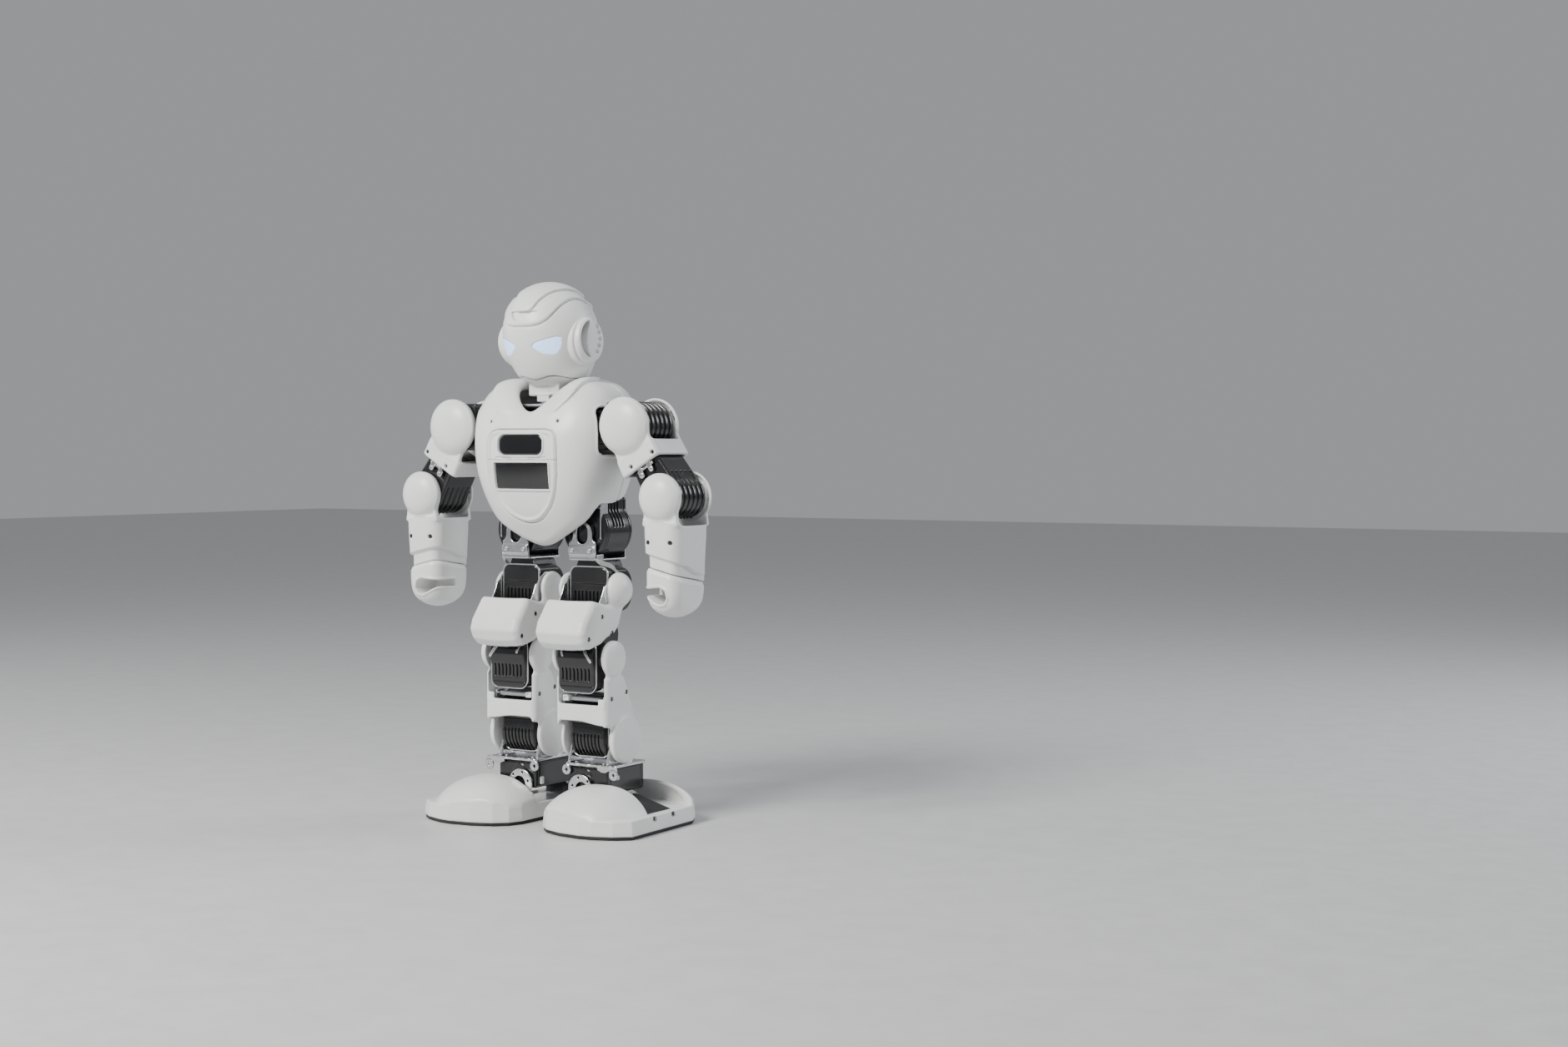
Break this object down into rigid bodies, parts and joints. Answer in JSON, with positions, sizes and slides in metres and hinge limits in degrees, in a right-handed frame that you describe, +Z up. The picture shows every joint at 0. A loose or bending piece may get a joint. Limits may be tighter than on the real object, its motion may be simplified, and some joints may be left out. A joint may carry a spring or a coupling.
{
  "type": "walking humanoid robot",
  "caption": "Small walking humanoid toy robot with white moulded shells, black ribbed servos, metal brackets, glowing eyes, hinged arms and legs, and wide flat feet.",
  "frame": {"origin": "on the ground, midway between the feet and midway along them", "axes": "+Z up, the robot faces -Y, its left side is +X"},
  "size_m": [0.2498, 0.114, 0.3868],
  "materials": {
    "white_shell": "satin moulded ABS with a very fine texture",
    "servo_case": "glossy black moulded case with ribs",
    "bracket_metal": "bright nickel-plated pressed sheet",
    "inner_frame": "plain milled sheet",
    "smoked_window": "polished smoked acrylic",
    "eye_lens": "frosted pale blue light guide, lit from behind",
    "circuit_board": "green solder mask",
    "battery_wrap": "shrink wrap",
    "black_trim": "fine matt moulding",
    "sole_rubber": "black rubber sole and plate"
  },
  "bodies": {
    "torso": {"chest_shell": "white_shell", "back_shell": "white_shell", "chest_panel_upper": "white_shell", "battery_door": "white_shell", "sensor_window": "smoked_window", "display_window": "smoked_window", "main_frame": "inner_frame", "battery_pack": "battery_wrap", "control_board": "circuit_board", "speaker": "black_trim", "charge_jack": "black_trim", "head_face_shell": "white_shell", "head_rear_shell": "white_shell", "head_crest": "white_shell", "eye_lens_left": "eye_lens", "eye_lens_right": "eye_lens", "ear_disc_left": "white_shell", "ear_disc_right": "white_shell", "eye_board": "circuit_board", "neck_shell": "white_shell", "shoulder_pitch_servo_left": "servo_case", "shoulder_pitch_servo_right": "servo_case", "hip_roll_servo_left": "servo_case", "hip_roll_servo_right": "servo_case"},
    "power_button": {"power_button": "black_trim"},
    "shoulder_left": {"shoulder_bracket_left": "bracket_metal", "shoulder_roll_servo_left": "servo_case"},
    "upper_arm_left": {"upper_arm_cover_left": "white_shell", "elbow_servo_left": "servo_case"},
    "forearm_left": {"forearm_shell_left": "white_shell", "hand_left": "white_shell"},
    "hip_left": {"hip_bracket_left": "bracket_metal", "hip_pitch_servo_left": "servo_case"},
    "thigh_left": {"thigh_cover_left": "white_shell", "knee_servo_left": "servo_case"},
    "shank_left": {"shank_cover_left": "white_shell", "ankle_pitch_servo_left": "servo_case"},
    "ankle_left": {"ankle_bracket_left": "bracket_metal", "ankle_roll_servo_left": "servo_case"},
    "foot_left": {"foot_bracket_left": "bracket_metal", "foot_shell_left": "white_shell", "foot_sole_left": "sole_rubber"},
    "shoulder_right": {"shoulder_bracket_right": "bracket_metal", "shoulder_roll_servo_right": "servo_case"},
    "upper_arm_right": {"upper_arm_cover_right": "white_shell", "elbow_servo_right": "servo_case"},
    "forearm_right": {"forearm_shell_right": "white_shell", "hand_right": "white_shell"},
    "hip_right": {"hip_bracket_right": "bracket_metal", "hip_pitch_servo_right": "servo_case"},
    "thigh_right": {"thigh_cover_right": "white_shell", "knee_servo_right": "servo_case"},
    "shank_right": {"shank_cover_right": "white_shell", "ankle_pitch_servo_right": "servo_case"},
    "ankle_right": {"ankle_bracket_right": "bracket_metal", "ankle_roll_servo_right": "servo_case"},
    "foot_right": {"foot_bracket_right": "bracket_metal", "foot_shell_right": "white_shell", "foot_sole_right": "sole_rubber"}
  },
  "joints": [
    {"name": "shoulder_pitch_left", "type": "hinge", "parent": "torso", "child": "shoulder_left", "pos_m": [0.0767, -0.01, 0.284], "axis": [-1, 0, 0], "range_deg": [-30, 150]},
    {"name": "shoulder_pitch_right", "type": "hinge", "parent": "torso", "child": "shoulder_right", "pos_m": [-0.0767, -0.01, 0.284], "axis": [-1, 0, 0], "range_deg": [-30, 150]},
    {"name": "shoulder_roll_left", "type": "hinge", "parent": "shoulder_left", "child": "upper_arm_left", "pos_m": [0.0767, -0.01, 0.284], "axis": [0, -1, 0], "range_deg": [-14, 75]},
    {"name": "shoulder_roll_right", "type": "hinge", "parent": "shoulder_right", "child": "upper_arm_right", "pos_m": [-0.0767, -0.01, 0.284], "axis": [0, 1, 0], "range_deg": [-14, 75]},
    {"name": "elbow_left", "type": "hinge", "parent": "upper_arm_left", "child": "forearm_left", "pos_m": [0.1069, -0.01, 0.2348], "axis": [0, 1, 0], "range_deg": [-85, 25]},
    {"name": "elbow_right", "type": "hinge", "parent": "upper_arm_right", "child": "forearm_right", "pos_m": [-0.1069, -0.01, 0.2348], "axis": [0, -1, 0], "range_deg": [-85, 25]},
    {"name": "hip_roll_left", "type": "hinge", "parent": "torso", "child": "hip_left", "pos_m": [0.03, 0.004, 0.21], "axis": [0, -1, 0], "range_deg": [-3, 25]},
    {"name": "hip_roll_right", "type": "hinge", "parent": "torso", "child": "hip_right", "pos_m": [-0.03, 0.004, 0.21], "axis": [0, 1, 0], "range_deg": [-3, 25]},
    {"name": "hip_pitch_left", "type": "hinge", "parent": "hip_left", "child": "thigh_left", "pos_m": [0.03, 0, 0.168], "axis": [-1, 0, 0], "range_deg": [-25, 60]},
    {"name": "hip_pitch_right", "type": "hinge", "parent": "hip_right", "child": "thigh_right", "pos_m": [-0.03, 0, 0.168], "axis": [-1, 0, 0], "range_deg": [-25, 60]},
    {"name": "knee_left", "type": "hinge", "parent": "thigh_left", "child": "shank_left", "pos_m": [0.03, -0.01, 0.1206], "axis": [1, 0, 0], "range_deg": [-25, 70]},
    {"name": "knee_right", "type": "hinge", "parent": "thigh_right", "child": "shank_right", "pos_m": [-0.03, -0.01, 0.1206], "axis": [1, 0, 0], "range_deg": [-25, 70]},
    {"name": "ankle_pitch_left", "type": "hinge", "parent": "shank_left", "child": "ankle_left", "pos_m": [0.03, 0.004, 0.0623], "axis": [-1, 0, 0], "range_deg": [-35, 35]},
    {"name": "ankle_pitch_right", "type": "hinge", "parent": "shank_right", "child": "ankle_right", "pos_m": [-0.03, 0.004, 0.0623], "axis": [-1, 0, 0], "range_deg": [-35, 35]},
    {"name": "ankle_roll_left", "type": "hinge", "parent": "ankle_left", "child": "foot_left", "pos_m": [0.03, 0.012, 0.035], "axis": [0, 1, 0], "range_deg": [-20, 20]},
    {"name": "ankle_roll_right", "type": "hinge", "parent": "ankle_right", "child": "foot_right", "pos_m": [-0.03, 0.012, 0.035], "axis": [0, -1, 0], "range_deg": [-20, 20]},
    {"name": "power_button_press", "type": "slide", "parent": "torso", "child": "power_button", "axis": [0, -1, 0], "range_m": [0, 0.0012], "stiffness_N_per_m": 400, "springref_m": -0.0005}
  ]
}
